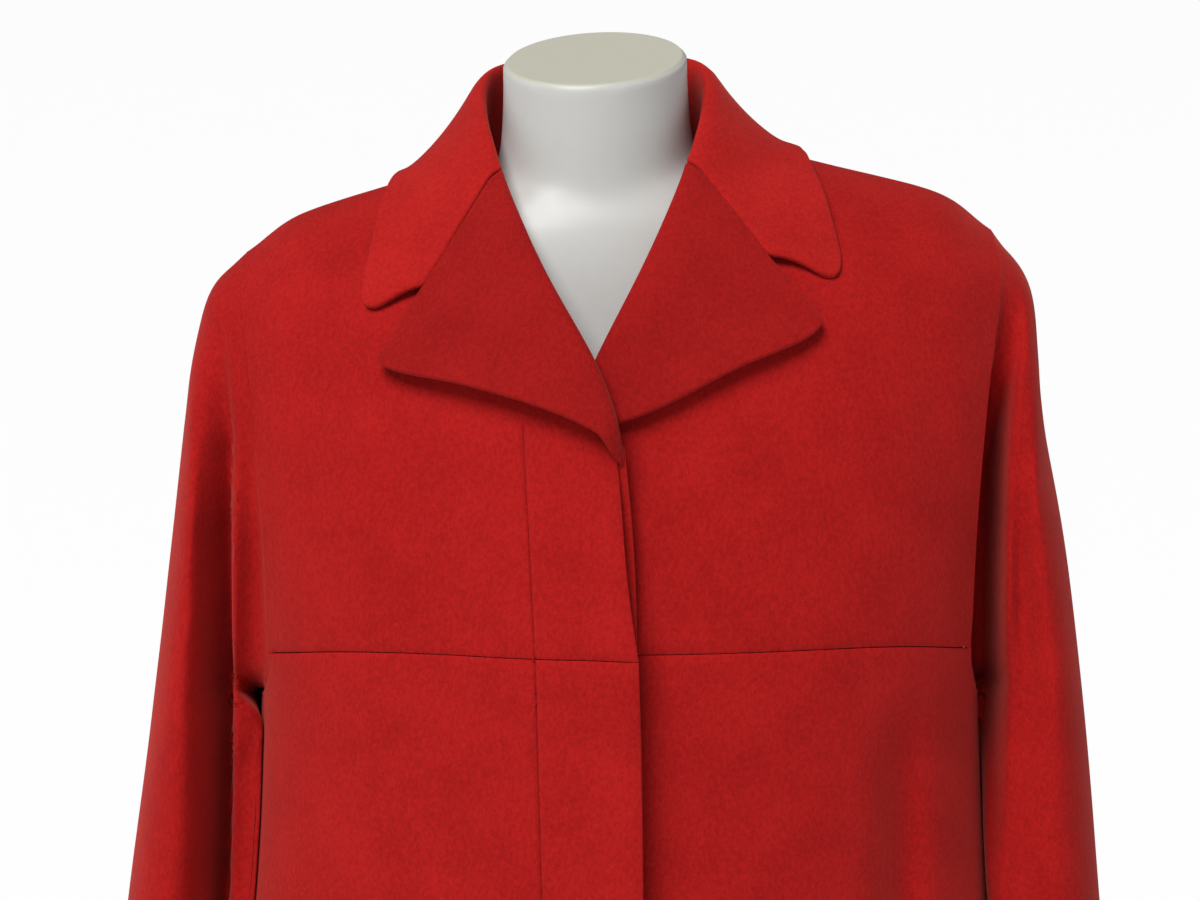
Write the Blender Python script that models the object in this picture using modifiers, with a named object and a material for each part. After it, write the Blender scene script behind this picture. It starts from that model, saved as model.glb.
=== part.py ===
"""Cashmere coat with a notched collar and a fly front, on a limbless dress form.

Metres, +Z up. The front faces -Y and the wearer's right is at -X. The origin is on the floor under the pole.
"""
import math
from bisect import bisect_right
from collections import namedtuple

import bmesh
import bpy
from mathutils import Vector
from mathutils.bvhtree import BVHTree

for old in list(bpy.data.objects):
    bpy.data.objects.remove(old, do_unlink=True)

# Cloth, seams and clearances
CLOTH = 0.0030          # wall of a body panel or sleeve
TURNED = 0.0045         # wall of the collar and lapels, two layers turned right side out
FLY = 0.0020            # wall of the fly strip
SEAM = 0.0003           # space between two sewn pieces
FOLD = 0.0040           # width of the turn where the collar and lapels fold over
LIE = 0.0026            # least space under the collar and lapels
FOOT = 0.0008           # space between the neckline and the foot of the stand
FIT = 0.0006            # space between the form's shoulders and the coat that rests on them
LAP = 0.0140            # how far the right front stands out over the left front
FLY_SPACE = 0.0006      # space between the fly strip and the right front
SLEEVE_SPACE = 0.0085   # space between sleeve and body under the arm
HANG_SPACE = 0.0040     # space between sleeve and body lower down

# Levels and places of the cut
HEM_Z = 0.420
UNDERARM_Z = 1.110
CHEST_SEAM_Z = 1.161
CHEST_SEAM_DIP = 0.015  # how far the chest seam drops at the armhole
DIP_POWER = 6           # keeps that drop close to the armhole
BREAK_Z = 1.279         # where the lapels begin to turn back
ROLL_RISE = 0.0034      # height of a lapel's fold over its yoke at the break
STAND_SHARES = 0.55, 0.93  # rows on the stand, as shares of the way up from its foot to the fold
SHOULDER_ALONG = 0.197  # where the shoulder line meets the collar's neck edge, as a share of that edge
FALL_SAG = 0.0060       # how far the collar dips between its fold and its outer edge
GORGE_FADE = 0.55       # how fast the bend at the notch fades along the collar
GORGE_REACH = 3         # collar columns over which it fades
SHOULDER_X = 0.217      # shoulder point, out from the middle
SHOULDER_Y = 0.008      # shoulder line, behind the side seam
FRONT_ROUND = 0.115     # drop over which the front rounds off from the shoulder line
BACK_ROUND = 0.100
TILT = 0.034            # the coat hangs lower on the wearer's right shoulder
TILT_FROM, TILT_TO = 1.05, 1.36
LAP_FROM, LAP_TO = -0.110, -0.020
LAP_FADE_FROM, LAP_FADE_TO = 1.340, 1.410

# Grid counts
COLUMNS = 9             # across each front and each half of the back
SKIRT_ROWS, SCOOP_ROWS = 12, 4
EDGE_ROWS, NECK_ROWS = 3, 7
YOKE_ROWS = EDGE_ROWS + NECK_ROWS
BACK_NECK_ROWS = 8
CENTRE_ROWS = SCOOP_ROWS + YOKE_ROWS - BACK_NECK_ROWS
LAPEL_STEPS, FACE_STEPS, TIP_STEPS, COLLAR_STEPS = 10, 6, 3, 26
FLY_COLUMNS = 5
FORM_SIDES = 28

Section = namedtuple("Section", "z half_width front back squareness")
BODY = [
    Section(0.420, 0.292, 0.232, 0.212, 2.15),
    Section(0.700, 0.252, 0.200, 0.180, 2.20),
    Section(0.988, 0.2195, 0.174, 0.150, 2.35),
    Section(1.110, 0.211, 0.163, 0.138, 2.50),
    Section(1.161, 0.214, 0.158, 0.135, 2.50),
    Section(1.250, 0.226, 0.142, 0.130, 2.50),
    Section(1.320, 0.236, 0.121, 0.122, 2.40),
    Section(1.440, 0.246, 0.080, 0.094, 2.30),
]

Shoulder = namedtuple("Shoulder", "out z")
SHOULDER = [
    Shoulder(0.000, 1.436),
    Shoulder(0.075, 1.4265),
    Shoulder(0.129, 1.4125),
    Shoulder(0.169, 1.4020),
    Shoulder(0.192, 1.3940),
    Shoulder(0.217, 1.3775),
    Shoulder(0.250, 1.348),
]

Armhole = namedtuple("Armhole", "z front back")
ARMHOLE = [
    Armhole(1.146, 0.2015, 0.2050),
    Armhole(1.220, 0.2035, 0.2060),
    Armhole(1.280, 0.2085, 0.2100),
    Armhole(1.340, 0.2155, 0.2155),
    Armhole(1.3775, 0.2170, 0.2170),
]

Edge = namedtuple("Edge", "z right fly left")
FRONT_EDGE = [
    Edge(0.420, 0.0160, 0.0110, -0.0300),
    Edge(1.020, 0.0125, 0.0090, -0.0300),
    Edge(1.161, 0.0098, 0.0088, -0.0295),
    Edge(1.180, 0.0067, 0.0092, -0.0292),
    Edge(1.212, 0.0023, 0.0086, -0.0290),
    Edge(1.242, 0.0006, 0.0055, -0.0287),
    Edge(1.279, -0.0020, 0.0015, -0.0285),
]
FLY_IN = -0.042         # hidden edge of the fly strip
FLY_TOP, FLY_FOOT = 1.277, 0.424

Neckline = namedtuple("Neckline", "along right_x right_z left_x left_z")
NECKLINE = [
    Neckline(0.00, -0.0020, 1.279, -0.0285, 1.279),
    Neckline(0.22, -0.0185, 1.321, -0.0095, 1.321),
    Neckline(0.52, -0.0520, 1.371, 0.0225, 1.371),
    Neckline(0.80, -0.0790, 1.412, 0.0500, 1.412),
]

# Collar stations from the right gorge round the back to the left gorge. An arc is measured over the
# shoulder: 0 on the shoulder line, above 0 in front and below 0 behind.
Collar = namedtuple("Collar", "along neck_x neck_arc fold_x fold_y fold_z edge_x edge_arc")
COLLAR = [
    Collar(0.000, -0.0790, 0.455, -0.0700, -0.0520, 1.4190, -0.1430, 1.000),
    Collar(0.085, -0.0820, 0.220, -0.0765, -0.0300, 1.4380, -0.1392, 0.686),
    Collar(0.170, -0.0828, 0.060, -0.0800, -0.0050, 1.4500, -0.1349, 0.380),
    Collar(0.250, -0.0822, -0.120, -0.0805, 0.0200, 1.4610, -0.1280, 0.000),
    Collar(0.335, -0.0760, -0.420, -0.0740, 0.0480, 1.4705, -0.1120, -0.450),
    Collar(0.420, -0.0500, -0.720, -0.0500, 0.0720, 1.4740, -0.0750, -0.850),
    Collar(0.500, -0.0145, -0.810, -0.0145, 0.0800, 1.4755, -0.0145, -1.060),
    Collar(0.580, 0.0210, -0.720, 0.0210, 0.0720, 1.4760, 0.0500, -0.850),
    Collar(0.665, 0.0470, -0.420, 0.0450, 0.0480, 1.4745, 0.0860, -0.450),
    Collar(0.750, 0.0532, -0.120, 0.0515, 0.0200, 1.4670, 0.1035, 0.000),
    Collar(0.830, 0.0538, 0.060, 0.0510, -0.0050, 1.4560, 0.1100, 0.340),
    Collar(0.915, 0.0530, 0.220, 0.0475, -0.0300, 1.4420, 0.1165, 0.600),
    Collar(1.000, 0.0500, 0.455, 0.0405, -0.0520, 1.4235, 0.1240, 0.964),
]

# Lapel corners and the middle of its lower edge, in the front view
Lapel = namedtuple("Lapel", "notch_x notch_z tip_x tip_z low_x low_z")
LAPEL = {
    -1: Lapel(-0.1085, 1.357, -0.1350, 1.320, -0.0669, 1.3035),
    +1: Lapel(0.0820, 1.3735, 0.1135, 1.3425, 0.0439, 1.3075),
}

# Sleeve rings. Each is cut by a plane through the underarm and overarm points seen from the front.
Ring = namedtuple("Ring", "under_z over_x over_z front back")
SLEEVES = {
    -1: [
        Ring(1.1110, 0.2335, 1.3510, 0.078, 0.080),
        Ring(1.1105, 0.2425, 1.3280, 0.079, 0.083),
        Ring(1.1085, 0.2490, 1.3080, 0.080, 0.086),
        Ring(1.1055, 0.2515, 1.2850, 0.081, 0.088),
        Ring(1.1025, 0.2555, 1.2540, 0.081, 0.088),
        Ring(1.1000, 0.2595, 1.2200, 0.081, 0.087),
        Ring(1.0970, 0.2640, 1.1850, 0.080, 0.085),
        Ring(1.0930, 0.2685, 1.1480, 0.080, 0.083),
        Ring(1.0870, 0.2730, 1.1150, 0.080, 0.081),
        Ring(1.0750, 0.2775, 1.0800, 0.080, 0.079),
        Ring(1.0400, 0.2835, 1.0400, 0.079, 0.076),
        Ring(1.0000, 0.2895, 1.0000, 0.078, 0.072),
        Ring(0.9500, 0.2960, 0.9500, 0.076, 0.067),
        Ring(0.9000, 0.3020, 0.9000, 0.074, 0.062),
        Ring(0.8500, 0.3070, 0.8500, 0.072, 0.057),
        Ring(0.8000, 0.3115, 0.8000, 0.070, 0.053),
    ],
    +1: [
        Ring(1.1110, 0.2280, 1.3634, 0.078, 0.080),
        Ring(1.1105, 0.2370, 1.3446, 0.079, 0.083),
        Ring(1.1085, 0.2420, 1.3210, 0.080, 0.086),
        Ring(1.1055, 0.2436, 1.2930, 0.081, 0.088),
        Ring(1.1025, 0.2475, 1.2640, 0.081, 0.088),
        Ring(1.1000, 0.2555, 1.2280, 0.081, 0.087),
        Ring(1.0970, 0.2620, 1.1900, 0.080, 0.085),
        Ring(1.0930, 0.2675, 1.1480, 0.080, 0.083),
        Ring(1.0870, 0.2718, 1.1130, 0.080, 0.081),
        Ring(1.0750, 0.2755, 1.0800, 0.080, 0.079),
        Ring(1.0400, 0.2795, 1.0400, 0.079, 0.076),
        Ring(1.0000, 0.2830, 1.0000, 0.078, 0.072),
        Ring(0.9500, 0.2880, 0.9500, 0.076, 0.067),
        Ring(0.9000, 0.2945, 0.9000, 0.074, 0.062),
        Ring(0.8500, 0.3010, 0.8500, 0.072, 0.057),
        Ring(0.8000, 0.3075, 0.8000, 0.070, 0.053),
    ],
}
SLEEVE_SQUARE = 2.3     # squareness of a sleeve's section on its outer side
SLEEVE_HUG = 4.5        # squareness on the side that hangs against the body
RINGS_TO_CLEAR = 4      # rings over which the sleeve turns away from the body under the arm
RINGS_TO_ROUND = 10     # rings over which the points spread out evenly
RINGS_TO_HANG = 4       # rings over which the armhole's shape gives way to the sleeve's own
HUG_FROM, HUG_TO = 8, 12  # rings between which the sleeve comes to lie along the body

# The deep fold down the front of each sleeve, ring by ring: its place and half width as shares of the way
# from underarm to overarm, and its depth.
Trough = namedtuple("Trough", "ring place depth width")
TROUGHS = {
    -1: [
        Trough(0, 0.80, 0.000, 0.15),
        Trough(2, 0.66, 0.007, 0.15),
        Trough(5, 0.46, 0.016, 0.16),
        Trough(8, 0.37, 0.022, 0.16),
        Trough(11, 0.31, 0.025, 0.16),
        Trough(14, 0.31, 0.018, 0.18),
        Trough(16, 0.34, 0.009, 0.20),
    ],
    +1: [
        Trough(0, 0.62, 0.000, 0.16),
        Trough(1, 0.56, 0.008, 0.17),
        Trough(3, 0.46, 0.016, 0.17),
        Trough(6, 0.38, 0.016, 0.17),
        Trough(9, 0.33, 0.013, 0.17),
        Trough(12, 0.32, 0.009, 0.18),
        Trough(16, 0.36, 0.004, 0.20),
    ],
}

# Soft folds of the skirt: bearing from the front (+ to the wearer's left), half width, depth at the hem, start.
SkirtFold = namedtuple("SkirtFold", "bearing width depth from_z")
SKIRT_FOLDS = [
    SkirtFold(48.0, 11.0, 0.034, 1.140),
    SkirtFold(-58.0, 13.0, 0.024, 1.060),
    SkirtFold(-22.0, 12.0, 0.012, 0.900),
    SkirtFold(20.0, 11.0, 0.010, 0.860),
    SkirtFold(112.0, 13.0, 0.022, 1.000),
    SkirtFold(150.0, 13.0, 0.030, 1.080),
    SkirtFold(-172.0, 12.0, 0.016, 0.960),
    SkirtFold(-140.0, 14.0, 0.028, 1.100),
    SkirtFold(-108.0, 12.0, 0.018, 0.940),
]
FOLD_FADE_Z = 0.620     # the folds are at half their depth this far up, or less

# Dress form
SEAT_LOW, SEAT_HIGH = 1.200, 1.405  # heights between which the coat rests on the form
SEAT_REACH = 0.030      # how far from the coat the form is drawn in
FORM_LEAN = 0.0145      # how far the neck stands to the wearer's right of the pole
FORM_FOOT_Z = 0.760
NECK_FOOT_Z = 1.395
NECK_TOP_Z = 1.4805
CAP_ROUND = 0.0025      # rounding of the neck cap's rim
CAP_TIP = 0.235         # slope of the neck cap towards the front
CAP_ROLL = 0.054        # slope of the neck cap towards the wearer's right
Form = namedtuple("Form", "z half_width front back squareness")
FORM = [
    Form(0.760, 0.142, 0.094, 0.100, 2.2),
    Form(0.785, 0.160, 0.108, 0.114, 2.2),
    Form(0.840, 0.170, 0.116, 0.124, 2.2),
    Form(0.900, 0.166, 0.114, 0.122, 2.2),
    Form(0.980, 0.142, 0.102, 0.102, 2.2),
    Form(1.050, 0.128, 0.096, 0.092, 2.2),
    Form(1.120, 0.138, 0.112, 0.098, 2.2),
    Form(1.190, 0.152, 0.122, 0.106, 2.3),
    Form(1.250, 0.164, 0.112, 0.110, 2.4),
    Form(1.310, 0.178, 0.092, 0.106, 2.4),
    Form(1.353, 0.182, 0.080, 0.094, 2.2),
    Form(1.376, 0.172, 0.0720, 0.082, 2.0),
    Form(1.392, 0.146, 0.0660, 0.074, 1.9),
    Form(1.401, 0.104, 0.0610, 0.062, 1.9),
    Form(1.409, 0.073, 0.0580, 0.058, 2.0),
    Form(1.417, 0.0595, 0.0565, 0.056, 2.0),
    Form(1.430, 0.0560, 0.0550, 0.0545, 2.0),
    Form(1.445, 0.0545, 0.0540, 0.0540, 2.0),
    Form(1.465, 0.0535, 0.0525, 0.0535, 2.0),
]
POLE_RADIUS, POLE_SIDES = 0.014, 24
BASE_RADIUS, BASE_SIDES = 0.190, 48
BASE_HEIGHT = 0.014
BASE_BEVEL = 0.004

Finish = namedtuple("Finish", "colour roughness metallic")
CASHMERE = Finish((0.42, 0.012, 0.012), 0.90, 0.0)
SHELL = Finish((0.58, 0.58, 0.56), 0.35, 0.0)
STEEL = Finish((0.45, 0.45, 0.46), 0.35, 1.0)
SHARP_ANGLE = math.radians(40)
FITTING_ROUNDS = 4      # times a point is moved, or a place looked up, until it settles
LIFT_MARGIN = 1.02      # a lifted point goes this much further than it has to
JUST_BEHIND = -1e-6     # arc that counts as behind the shoulder line


def smooth(low, high, value):
    """Soft step from 0 at low to 1 at high."""
    t = min(1.0, max(0.0, (value - low) / (high - low)))
    return t * t * (3.0 - 2.0 * t)


def read(table, column, at):
    """A column's value at a place along a table's first column, on a smooth curve through its rows."""
    keys = [row[0] for row in table]
    values = [getattr(row, column) for row in table]
    at = min(max(at, keys[0]), keys[-1])
    i = min(max(bisect_right(keys, at) - 1, 0), len(keys) - 2)
    span = keys[i + 1] - keys[i]
    t = (at - keys[i]) / span

    def slope(k):
        low, high = max(k - 1, 0), min(k + 1, len(keys) - 1)
        return (values[high] - values[low]) / (keys[high] - keys[low])

    rise = values[i + 1] - values[i]
    start, end = slope(i) * span, slope(i + 1) * span
    return values[i] + t * start + t * t * (3 * rise - 2 * start - end) + t ** 3 * (start + end - 2 * rise)


def ridge(x):
    return read(SHOULDER, "z", abs(x))


def level_at(x, arc):
    """Height on the body at an arc over the shoulder line."""
    rounding = FRONT_ROUND if arc > 0 else BACK_ROUND
    turn = abs(arc)
    past = math.pi / 2
    drop = rounding * (1 - math.cos(turn)) if turn < past else rounding * (1 + turn - past)
    return ridge(x) - drop


def arc_at(x, z, back=False):
    """Arc over the shoulder line at a height on the body."""
    rounding = BACK_ROUND if back else FRONT_ROUND
    drop = max(0.0, ridge(x) - z) / rounding
    turn = math.acos(1 - drop) if drop < 1 else math.pi / 2 + drop - 1
    return -turn if back else turn


def folded_in(x, y, z):
    """How far the skirt's soft folds draw a point in."""
    bearing = math.degrees(math.atan2(x, -y))
    depth = 0.0
    for fold in SKIRT_FOLDS:
        away = (bearing - fold.bearing + 180) % 360 - 180
        reach = (smooth(fold.from_z, FOLD_FADE_Z, z) + smooth(FOLD_FADE_Z, HEM_Z, z)) / 2
        depth += fold.depth * reach * math.exp(-(away / fold.width) ** 2)
    return depth


def on_body(x, z, back=False, lap=0.0):
    """Point on the outside of the body, z being its height before the coat's tilt."""
    half_width = read(BODY, "half_width", z)
    power = read(BODY, "squareness", z)
    depth = read(BODY, "back" if back else "front", z)
    depth *= max(0.0, 1 - (abs(x) / half_width) ** power) ** (1 / power)
    rounding = BACK_ROUND if back else FRONT_ROUND
    hollow = max(0.0, 1 - max(0.0, ridge(x) - z) / rounding)
    full = math.sqrt(max(0.0, 1 - hollow * hollow))
    y = SHOULDER_Y * (1 - full) + (depth if back else -depth) * full
    if not back:
        y -= lap * smooth(LAP_FROM, LAP_TO, x) * (1 - smooth(LAP_FADE_FROM, LAP_FADE_TO, z))
    shrink = 1 - folded_in(x, y, z) / math.hypot(x, y)
    return Vector((x * shrink, y * shrink, z + tilt(x, z)))


def tilt(x, z):
    return TILT * smooth(TILT_FROM, TILT_TO, z) * x


def over_shoulder(x, arc, lap=0.0):
    return on_body(x, level_at(x, arc), arc < 0, lap)


def side_angle(x, z):
    """Bearing on a level section of the body, 0 at the middle and a quarter turn at the side seam."""
    share = min(1.0, abs(x) / read(BODY, "half_width", z))
    return math.copysign(math.asin(share ** (read(BODY, "squareness", z) / 2)), x)


def side_x(angle, z):
    reach = abs(math.sin(angle)) ** (2 / read(BODY, "squareness", z))
    return math.copysign(read(BODY, "half_width", z) * reach, angle)


def beside_body(y, z):
    """Half width of the body's level section at a distance in front of or behind the side seam."""
    power = read(BODY, "squareness", z)
    share = min(1.0, abs(y) / read(BODY, "back" if y > 0 else "front", z))
    return read(BODY, "half_width", z) * (1 - share ** power) ** (1 / power)


def chest_seam_z(x):
    return CHEST_SEAM_Z - CHEST_SEAM_DIP * min(1.0, abs(x) / ARMHOLE[0].front) ** DIP_POWER


def patch(bottom, top, left, right):
    """Grid that fills four edges. Bottom and top run left to right, left and right run upwards."""
    rows, columns = len(left) - 1, len(bottom) - 1
    grid = []
    for i in range(rows + 1):
        v = i / rows
        line = []
        for j in range(columns + 1):
            u = j / columns
            edges = bottom[j] * (1 - v) + top[j] * v + left[i] * (1 - u) + right[i] * u
            low = bottom[0] * (1 - u) + bottom[-1] * u
            high = top[0] * (1 - u) + top[-1] * u
            line.append(edges - low * (1 - v) - high * v)
        grid.append(line)
    return grid


def spaced(start, end, count):
    return [start + (end - start) * i / count for i in range(count + 1)]


def scoop(side, back=False):
    """Round foot of the armhole as (bearing, z) pairs, from the underarm up to the level of its long edge."""
    low = ARMHOLE[0].z
    edge = side_angle(ARMHOLE[0].back if back else ARMHOLE[0].front, low)
    points = []
    for turn in spaced(math.pi / 2, 0.0, SCOOP_ROWS):
        z = UNDERARM_Z + (low - UNDERARM_Z) * (1 - math.sin(turn))
        angle = edge + (math.pi / 2 - edge) * (1 - math.cos(turn))
        points.append(Vector((side * angle, z)))
    return points


def long_edge(side, back=False):
    """Long edge of the armhole as (x, arc) pairs, from the scoop up to the shoulder point."""
    column = "back" if back else "front"
    start = arc_at(getattr(ARMHOLE[0], column), ARMHOLE[0].z, back)
    points = []
    for arc in spaced(start, 0.0, YOKE_ROWS):
        x = SHOULDER_X
        for _ in range(FITTING_ROUNDS):
            x = read(ARMHOLE, column, level_at(x, arc))
        points.append(Vector((side * x, arc)))
    return points


def collar_row(along):
    return Collar(along, *(read(COLLAR, column, along) for column in Collar._fields[1:]))


def neckline(side):
    """Front neckline from the break up to the shoulder line, as (x, arc) pairs."""
    points = [Vector((x, arc_at(x, z))) for x, z in lapel_feet(side, NECK_ROWS - 2)]
    above = collar_row(SHOULDER_ALONG / 2 if side < 0 else 1 - SHOULDER_ALONG / 2)
    at_shoulder = collar_row(SHOULDER_ALONG if side < 0 else 1 - SHOULDER_ALONG)
    return points + [Vector((above.neck_x, above.neck_arc)), Vector((at_shoulder.neck_x, 0.0))]


def lapel_feet(side, count):
    """Neckline under a lapel as (x, z) pairs, from the break up to the gorge."""
    name = "right" if side < 0 else "left"
    places = spaced(0.0, NECKLINE[-1].along, count)
    return [(read(NECKLINE, name + "_x", along), read(NECKLINE, name + "_z", along)) for along in places]


def yoke(side):
    """Front above the chest seam, from the front edge out to the armhole."""
    lap = LAP if side < 0 else 0.0
    edge = "right" if side < 0 else "left"
    arm = long_edge(side)
    edge_x = read(FRONT_EDGE, edge, CHEST_SEAM_Z)
    ends = side_angle(edge_x, CHEST_SEAM_Z), side_angle(arm[0].x, CHEST_SEAM_Z)
    seam = [side_x(angle, CHEST_SEAM_Z) for angle in spaced(*ends, COLUMNS)]
    bottom = [Vector((x, arc_at(x, chest_seam_z(x)))) for x in seam]
    front = []
    for z in spaced(CHEST_SEAM_Z, BREAK_Z, EDGE_ROWS)[:-1]:
        x = read(FRONT_EDGE, edge, z)
        front.append(Vector((x, arc_at(x, z))))
    neck = neckline(side)
    shoulder = [Vector((x, 0.0)) for x in spaced(neck[-1].x, side * SHOULDER_X, COLUMNS)]
    grid = patch(bottom, shoulder, front + neck, arm)
    return [[over_shoulder(p.x, max(0.0, p.y), lap) for p in line] for line in grid]


def lower_front(side, seam_line):
    """Front below the chest seam, down to the hem. Its top edge takes the yoke's own points."""
    lap = LAP if side < 0 else 0.0
    edge = "right" if side < 0 else "left"
    quarter = side * math.pi / 2
    levels = spaced(HEM_Z, UNDERARM_Z, SKIRT_ROWS) + spaced(UNDERARM_Z, CHEST_SEAM_Z, SCOOP_ROWS)[1:]
    front = [Vector((side_angle(read(FRONT_EDGE, edge, z), z), z)) for z in levels]
    outer = [Vector((quarter, z)) for z in levels[:SKIRT_ROWS]] + scoop(side)
    bottom = [Vector((angle, HEM_Z)) for angle in spaced(front[0].x, quarter, COLUMNS)]
    top = []
    for angle in spaced(front[-1].x, outer[-1].x, COLUMNS):
        top.append(Vector((angle, chest_seam_z(side_x(angle, CHEST_SEAM_Z)))))
    grid = patch(bottom, top, front, outer)
    panel = [[on_body(side_x(p.x, p.y), p.y, False, lap) for p in line] for line in grid]
    panel[-1] = [p.copy() for p in seam_line]
    return panel


def half_back(side, shoulder_line):
    """Half of the back, from the centre seam to the side. Its shoulder edge takes the yoke's own points."""
    angles = spaced(0.0, side * math.pi / 2, COLUMNS)
    skirt = []
    for z in spaced(HEM_Z, UNDERARM_Z, SKIRT_ROWS):
        skirt.append([on_body(side_x(angle, z), z, True) for angle in angles])
    bottom = []
    for angle in angles:
        x = side_x(angle, UNDERARM_Z)
        bottom.append(Vector((x, arc_at(x, UNDERARM_Z, True))))
    feet = [(side_x(p.x, p.y), p.y) for p in scoop(side, True)[:-1]]
    arm = [Vector((x, arc_at(x, z, True))) for x, z in feet] + long_edge(side, True)
    at_shoulder = SHOULDER_ALONG if side < 0 else 1 - SHOULDER_ALONG
    neck = [collar_row(along) for along in spaced(0.5, at_shoulder, BACK_NECK_ROWS)]
    neck_edge = [Vector((row.neck_x, row.neck_arc)) for row in neck[:-1]]
    corner = Vector((neck[-1].neck_x, 0.0))
    centre = spaced(bottom[0], neck_edge[0], CENTRE_ROWS)[:-1]
    shoulder = spaced(corner, Vector((side * SHOULDER_X, 0.0)), COLUMNS)
    grid = patch(bottom, shoulder, centre + neck_edge + [corner], arm)
    upper = [[over_shoulder(p.x, min(JUST_BEHIND, p.y)) for p in line] for line in grid]
    upper[-1] = [p.copy() for p in shoulder_line]
    return skirt + upper[1:]


def sleeve(side, front_edge, back_edge):
    """Sleeve as closed rings: the armhole itself, rings that swing down from it, then rings to the cuff."""
    half = len(front_edge) - 1
    loop = front_edge + back_edge[-2:0:-1]
    under, over = loop[0], loop[half]
    heights = [(p.z - under.z) / (over.z - under.z) for p in loop]
    rings = [loop]
    for k, row in enumerate(SLEEVES[side], 1):
        round_share = min(1.0, k / RINGS_TO_ROUND)
        own_share = min(1.0, k / RINGS_TO_HANG)
        clear = math.sin(math.pi / 2 * min(1.0, k / RINGS_TO_CLEAR))
        hug = smooth(HUG_FROM, HUG_TO, k)
        space = SLEEVE_SPACE * clear + (HANG_SPACE - SLEEVE_SPACE) * smooth(RINGS_TO_CLEAR, RINGS_TO_ROUND, k)
        side_seam = read(BODY, "half_width", row.under_z)
        place, depth, width = (read(TROUGHS[side], name, k) for name in Trough._fields[1:])
        ring = []
        for i, p in enumerate(loop):
            even = (1 - math.cos(math.pi * i / half)) / 2
            across = heights[i] * (1 - round_share) + even * round_share
            z = row.under_z + (row.over_z - row.under_z) * across
            power = SLEEVE_SQUARE + ((SLEEVE_HUG - SLEEVE_SQUARE) * hug if across < 0.5 else 0.0)
            bulge = max(0.0, 1 - abs(2 * across - 1) ** power) ** (1 / power)
            y = bulge * (-row.front if i < half else row.back)
            y = p.y * (1 - own_share) + y * own_share
            start = side_seam + (beside_body(y, row.under_z) - side_seam) * hug + space
            x = start + (row.over_x - start) * across
            if 0 < i < half:
                y += depth * math.exp(-((across - place) / width) ** 2)
            ring.append(Vector((side * x, y, z)))
        rings.append(ring)
    return rings


def fly_strip(cloth):
    """Under layer of the fastening, just behind the right front, its edge showing past the front edge."""
    grid = []
    for z in spaced(FLY_FOOT, FLY_TOP, SKIRT_ROWS + SCOOP_ROWS):
        line = []
        for x in spaced(FLY_IN, read(FRONT_EDGE, "fly", z), FLY_COLUMNS):
            point = on_body(x, z, False, LAP)
            near, normal, _, _ = cloth.find_nearest(point)
            proud = (point - near).dot(normal)
            line.append(point - normal * (proud + CLOTH + FLY_SPACE))
        grid.append(line)
    return grid


def bow(start, middle, end, count):
    """Curve through three points, the middle one met half way."""
    bend = middle - (start + end) / 2
    return [start * (1 - t) + end * t + bend * (4 * t * (1 - t)) for t in spaced(0.0, 1.0, count)]


def lapel(side):
    """Columns of a lapel's hidden face: the neckline, the roll line, then out to its free edges."""
    shape = LAPEL[side]
    lap = LAP if side < 0 else 0.0
    gorge = COLLAR[0 if side < 0 else -1]

    def lying(x, z):
        return on_body(x, z - tilt(x, z), False, lap) + Vector((0.0, -LIE, 0.0))

    feet = [over_shoulder(x, arc_at(x, z), lap) for x, z in lapel_feet(side, LAPEL_STEPS)]
    low_rise = Vector((0.0, -ROLL_RISE, 0.0))
    high_rise = Vector((gorge.fold_x, gorge.fold_y, gorge.fold_z)) - feet[-1]
    shares = spaced(0.0, 1.0, LAPEL_STEPS)
    roll = [foot + low_rise.lerp(high_rise, share * share) for foot, share in zip(feet, shares)]
    notch, tip = lying(shape.notch_x, shape.notch_z), lying(shape.tip_x, shape.tip_z)
    lower = bow(roll[0], lying(shape.low_x, shape.low_z), tip, FACE_STEPS)
    face = patch(roll, spaced(tip, notch, LAPEL_STEPS), lower, spaced(roll[-1], notch, FACE_STEPS))
    return [[foot] + [line[i] for line in face] for i, foot in enumerate(feet)]


def collar(right_seam, left_seam):
    """Columns of the collar's hidden face. Each end follows the lapel's gorge seam, then runs on to its tip."""
    steps = FACE_STEPS + TIP_STEPS
    columns = []
    for along in spaced(0.0, 1.0, COLLAR_STEPS):
        row = collar_row(along)
        fold = Vector((row.fold_x, row.fold_y, row.fold_z))
        edge = over_shoulder(row.edge_x, row.edge_arc)
        middle = fold.lerp(edge, 0.5) - Vector((0.0, 0.0, FALL_SAG))
        columns.append([over_shoulder(row.neck_x, row.neck_arc)] + bow(fold, middle, edge, steps))
    for seam, end, step in ((right_seam, 0, 1), (left_seam, COLLAR_STEPS, -1)):
        straight = columns[end]
        columns[end] = seam + spaced(seam[-1], straight[-1], TIP_STEPS)[1:]
        bend = [a - b for a, b in zip(columns[end], straight)]
        for away in range(1, GORGE_REACH + 1):
            share = GORGE_FADE ** away
            near = columns[end + step * away]
            columns[end + step * away] = near[:1] + [p + b * share for p, b in zip(near[1:], bend[1:])]
    return columns


def turned(columns, cloth):
    """Rounds each column over at its fold and lifts it clear of the cloth under it."""
    grid = []
    for column in columns:
        foot, fold = column[0], column[1]
        stand = [foot] + [foot.lerp(fold, share) for share in STAND_SHARES]
        fall = [fold, fold + (column[2] - fold).normalized() * FOLD] + column[2:]
        grid.append([lifted(p, cloth, FOOT) for p in stand] + [lifted(p, cloth, LIE) for p in fall])
    return grid


def lifted(point, cloth, space):
    """The point, moved out until it is that far from the cloth under it."""
    for _ in range(FITTING_ROUNDS):
        near, normal, _, distance = cloth.find_nearest(point)
        if distance >= space and (point - near).dot(normal) > 0:
            break
        point = near + normal * (space * LIFT_MARGIN)
    return point


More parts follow.
